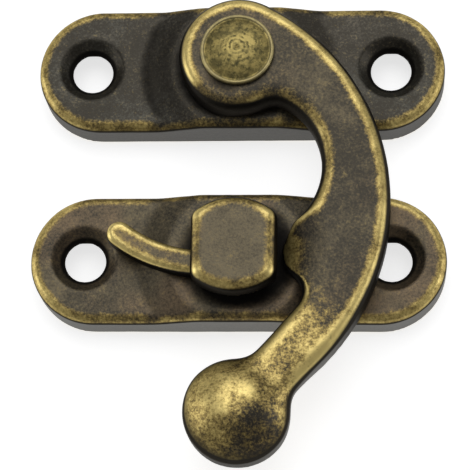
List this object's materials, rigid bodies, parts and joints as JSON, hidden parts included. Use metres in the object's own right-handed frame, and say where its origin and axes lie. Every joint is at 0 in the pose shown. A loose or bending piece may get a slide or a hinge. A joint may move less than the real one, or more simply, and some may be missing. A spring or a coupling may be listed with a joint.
{
  "type": "hasp latch",
  "caption": "Small antique-bronze swing-hook hasp latch for a box: a riveted curved hook with a ball end closes round a turning catch; each sits on a round-ended screw plate.",
  "frame": {"origin": "centre of the latch's box in plan, on the mounting plane at the plates' backs", "axes": "+X along the plates towards the hook's bulge, +Y from the catch plate to the hook plate, +Z out of the mounting plane"},
  "size_m": [0.028, 0.0324, 0.007],
  "materials": {
    "antique_bronze": "satin",
    "turned_brass": "satin"
  },
  "bodies": {
    "plates": {"hook_plate": "antique_bronze", "pivot_rivet": "turned_brass", "catch_plate": "antique_bronze"},
    "hook": {"swing_hook": "antique_bronze"},
    "catch": {"turn_catch": "antique_bronze"}
  },
  "joints": [
    {"name": "hook_swing", "type": "hinge", "parent": "plates", "child": "hook", "pos_m": [0, 0.01175, 0.0046], "axis": [0, 0, 1], "range_deg": [-1, 210]},
    {"name": "catch_turn", "type": "hinge", "parent": "plates", "child": "catch", "pos_m": [0, -0.00185, 0.0046], "axis": [0, 0, 1], "range_deg": [-45, 60]}
  ]
}
